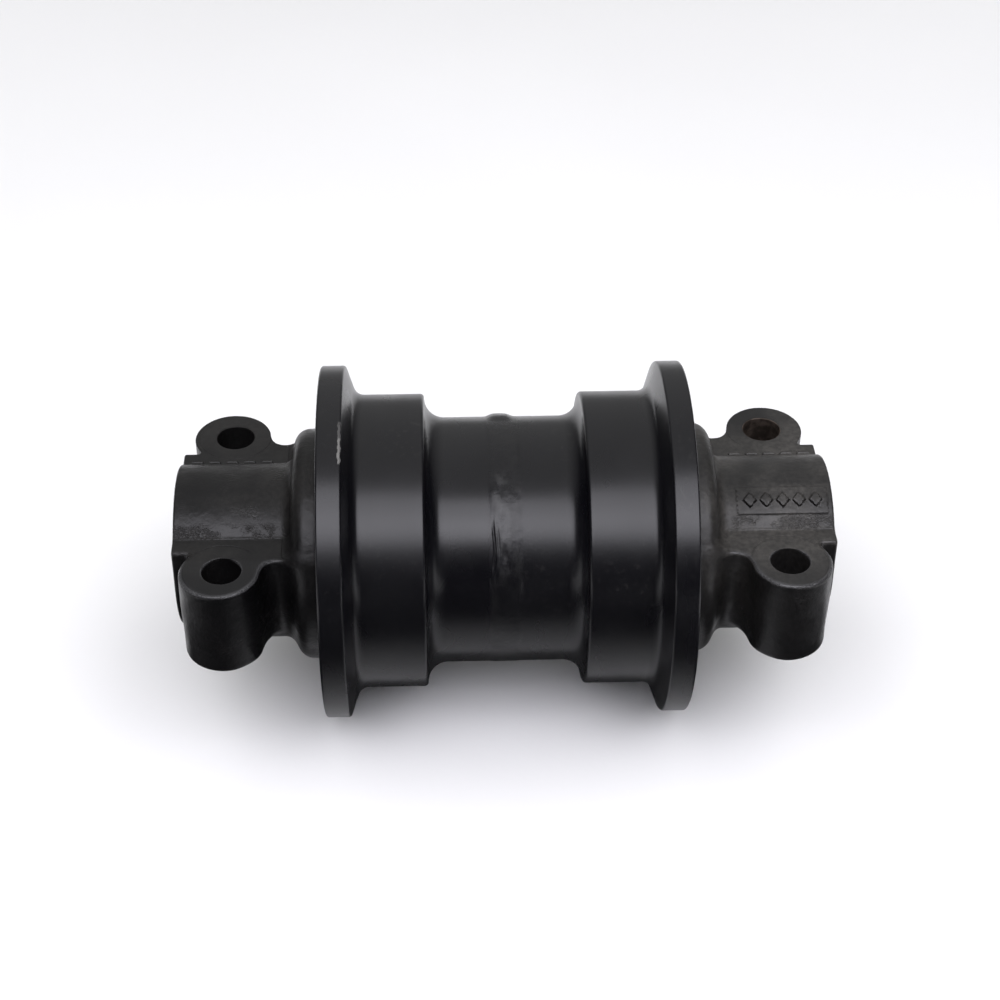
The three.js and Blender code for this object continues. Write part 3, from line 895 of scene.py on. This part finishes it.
def rubber(name):
    m = Material(name)
    color = m.mix(m.ramp(m.noise(90, 3), 0.35, 0.65), (0.010, 0.010, 0.010), (0.018, 0.018, 0.017))
    rough = m.ramp(m.noise(300, 3), 0.3, 0.7, 0.55, 0.72)
    return m.finish(color, rough, m.bump(m.noise(1500, 2), 0.00002))


# ---- camera, light and floor --------------------------------------------------------------------------
CAMERA_LENS = 74.51
CAMERA_DISTANCE = 0.95998
CAMERA_TILT = math.radians(38.472)
CAMERA_TURN = math.radians(-2.243)
CAMERA_ROLL = math.radians(0.415)
CAMERA_AIM = (-0.00002, -0.01752)
CAMERA_SHIFT = (-0.0029, 0.0004)


def camera():
    data = bpy.data.cameras.new("camera")
    data.lens = CAMERA_LENS
    data.sensor_width = 36
    data.clip_end = 20
    data.shift_x, data.shift_y = CAMERA_SHIFT
    level = math.cos(CAMERA_TILT)
    back = Vector((math.sin(CAMERA_TURN) * level, -math.cos(CAMERA_TURN) * level, math.sin(CAMERA_TILT)))
    right = Vector((math.cos(CAMERA_TURN), math.sin(CAMERA_TURN), 0))
    up = back.cross(right)
    right, up = (right * math.cos(CAMERA_ROLL) + up * math.sin(CAMERA_ROLL),
                 up * math.cos(CAMERA_ROLL) - right * math.sin(CAMERA_ROLL))
    axes = Matrix((right, up, back)).transposed()
    place = axes @ Vector((-CAMERA_AIM[0], -CAMERA_AIM[1], CAMERA_DISTANCE))
    made = bpy.data.objects.new("camera", data)
    made.matrix_world = Matrix.Translation(place) @ axes.to_4x4()
    bpy.context.scene.collection.objects.link(made)
    bpy.context.scene.camera = made


def softbox(name, height_angle, turn, distance, size, radiance, tint=(1, 1, 1), mirrored=True):
    """A rectangular light that faces the origin.

    Its direction is given as seen from the origin, in degrees: height_angle above the floor and turn to the
    right of the front (-Y). radiance is the brightness of its face. A light that isn't mirrored lights
    surfaces without showing in their reflections.
    """
    up, around = math.radians(height_angle), math.radians(turn)
    direction = (math.sin(around) * math.cos(up), -math.cos(around) * math.cos(up), math.sin(up))
    place = Vector(direction) * distance
    data = bpy.data.lights.new(name, "AREA")
    data.shape = "RECTANGLE"
    data.size, data.size_y = size
    data.energy = radiance * size[0] * size[1] * math.pi
    data.color = tint
    made = bpy.data.objects.new(name, data)
    made.location = place
    made.rotation_euler = (-place).to_track_quat("-Z", "Y").to_euler()
    made.visible_glossy = mirrored
    bpy.context.scene.collection.objects.link(made)


FLOOR_SIZE = 8
GROUND = ((0.80, 0.80, 0.80), (0.82, 0.82, 0.82))

# Painted shade in the floor's colour that only reflections see, dark in front of the roller, and a painted
# contact shadow under it: places in metres, and how dark they are.
REFLECTED_SHADE_FRONT_Y = 0.03
REFLECTED_SHADE_END_X = (0.22, 0.34)
REFLECTED_SHADE_SPREAD_X = 0.08
REFLECTED_SHADE_SPREAD = 4.0
REFLECTED_SHADE_RISE = (0.04, 0.18)
REFLECTED_SHADE_SHARE = (0.3, 0.985)
# painted contact shadow under the roller, seen only in reflections
CONTACT_SHADOW_X = (0.066, 0.074)
CONTACT_SHADOW_Y = 0.045
CONTACT_SHADOW_SHARE = 0.9


def floor():
    """Pale ground under the flanges. Its colour holds painted shade that only reflections see: dark at the
    front, and a painted contact shadow under the roller.
    """
    bpy.ops.mesh.primitive_plane_add(size=FLOOR_SIZE, location=(0, 0, -FLANGE_R * MM))
    made = bpy.context.object
    made.name = "floor"
    m = Material("pale_ground")
    side = m.math("ABSOLUTE", m.x)
    past_end = m.math("MAXIMUM", m.math("SUBTRACT", side, REFLECTED_SHADE_SPREAD_X), 0.0)
    beyond = m.math("MULTIPLY", past_end, REFLECTED_SHADE_SPREAD)
    squares = m.math("ADD", m.math("MULTIPLY", beyond, beyond), m.math("MULTIPLY", m.y, m.y))
    away = m.math("SQRT", squares)
    front = m.both(m.ramp(m.y, REFLECTED_SHADE_FRONT_Y, -REFLECTED_SHADE_FRONT_Y), m.ramp(side, *REFLECTED_SHADE_END_X, 1.0, 0.0))
    shown = m.add("ShaderNodeLightPath").outputs["Is Glossy Ray"]
    # painted shade, seen only by reflection rays, dark in front of the roller
    reflected_shade = m.both(front, m.ramp(away, *REFLECTED_SHADE_RISE, *REFLECTED_SHADE_SHARE))
    # painted contact shadow under the roller, between the flanges, seen only by reflection rays
    under = m.both(m.near(m.y, 0.0, CONTACT_SHADOW_Y, 0.008), m.ramp(side, *CONTACT_SHADOW_X, CONTACT_SHADOW_SHARE, 0.0))
    reflected_shade = m.math("MULTIPLY", shown, m.math("MAXIMUM", reflected_shade, under))
    pale = m.mix(m.ramp(m.noise(3, 2), 0.3, 0.7), *GROUND)
    color = m.mix(reflected_shade, pale, (0.0, 0.0, 0.0))
    made.data.materials.append(m.finish(color, 0.9, m.bump(m.noise(400, 2), 0.00005)))


ROOM_DARK = 0.015
ROOM_BRIGHT = 0.62
ROOM_REAR = 0.4
ROOM_SIDE = -0.5
BACKDROP = 0.85


def room():
    """Even surroundings, mid grey above and behind and nearly black low down at the front and the sides.
    The camera sees a pale backdrop instead.
    """
    world = bpy.data.worlds.new("studio")
    world.use_nodes = True
    tree = world.node_tree
    place = tree.nodes.new("ShaderNodeTexCoord").outputs["Generated"]
    split = tree.nodes.new("ShaderNodeSeparateXYZ")
    tree.links.new(place, split.inputs[0])
    aside = tree.nodes.new("ShaderNodeMath")
    aside.operation = "ABSOLUTE"
    tree.links.new(split.outputs["X"], aside.inputs[0])
    level = split.outputs["Z"]
    for part, share in ((split.outputs["Y"], ROOM_REAR), (aside.outputs[0], ROOM_SIDE)):
        lean = tree.nodes.new("ShaderNodeMath")
        lean.operation = "MULTIPLY_ADD"
        tree.links.new(part, lean.inputs[0])
        lean.inputs[1].default_value = share
        tree.links.new(level, lean.inputs[2])
        level = lean.outputs[0]
    lift = tree.nodes.new("ShaderNodeMapRange")
    tree.links.new(level, lift.inputs["Value"])
    levels = {"From Min": -0.1, "From Max": 1.0, "To Min": ROOM_DARK, "To Max": ROOM_BRIGHT}
    for key, value in levels.items():
        lift.inputs[key].default_value = value
    seen = tree.nodes.new("ShaderNodeMix")
    tree.links.new(tree.nodes.new("ShaderNodeLightPath").outputs["Is Camera Ray"], seen.inputs["Factor"])
    tree.links.new(lift.outputs[0], seen.inputs["A"])
    seen.inputs["B"].default_value = BACKDROP
    background = tree.nodes["Background"]
    background.inputs["Color"].default_value = (1, 1, 1, 1)
    tree.links.new(seen.outputs["Result"], background.inputs["Strength"])
    bpy.context.scene.world = world


# ---- the whole roller ---------------------------------------------------------------------------------
def place_piece(piece, material, node):
    """Gives the piece its material and its body, and lets it stand in for the CAD node."""
    piece.data.materials.append(material)
    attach(piece, frame["nodes"][node]["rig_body"])
    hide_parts(node)


def roller():
    steel = turned_metal("ground_steel", (0.42, 0.41, 0.40), (0.56, 0.55, 0.54), 0.3)
    zinc = turned_metal("dull_zinc", (0.30, 0.29, 0.27), (0.42, 0.41, 0.38), 0.42)
    bronze = turned_metal("bush_bronze", (0.50, 0.33, 0.16), (0.66, 0.45, 0.24), 0.33)
    iron = turned_metal("lapped_iron", (0.26, 0.27, 0.28), (0.36, 0.36, 0.37), 0.2, 0.000008)
    seal = rubber("nitrile_rubber")
    place_piece(shell(), shell_paint(), "roller_shell")
    place_piece(axle(), steel, "axle_shaft")
    place_piece(fill_plug(), zinc, "oil_fill_plug")
    place_piece(smoothed("plug_o_ring", 0.7), seal, "plug_o_ring")
    for side, name, dusty in ((-1, "left", LEFT_DUSTY), (1, "right", RIGHT_DUSTY)):
        paint = cast_paint("cast_paint_" + name, dusty, side > 0)
        node = name + "_collar"
        place_piece(collar(name + "_casting", side, side > 0), paint, node)
        node = name + "_lock_pin"
        place_piece(lock_pin(name + "_pin", side), steel, node)
        for part, material, edge in (
            ("bushing", bronze, 0.25),
            ("shell_seal_ring", iron, 0.25),
            ("collar_seal_ring", iron, 0.25),
            ("shell_toric", seal, 1.9),
            ("collar_toric", seal, 1.9),
            ("shaft_o_ring", seal, 1.1),
        ):
            node = name + "_" + part
            place_piece(smoothed(node, edge), material, node)


KEY_TINT = (0.93, 0.92, 1.0)

camera()
floor()
room()
softbox("key", 55.5, 4, 1.6, (2.6, 1.14), 2.9, KEY_TINT)
softbox("key_core", 49, 2, 1.55, (2.4, 0.46), 1.3, KEY_TINT)
for turn in (-90, 90):
    softbox("side_fill", 50, turn, 2.0, (2.0, 2.0), 1.5, mirrored=False)
bpy.context.scene.view_settings.view_transform = "Standard"
roller()
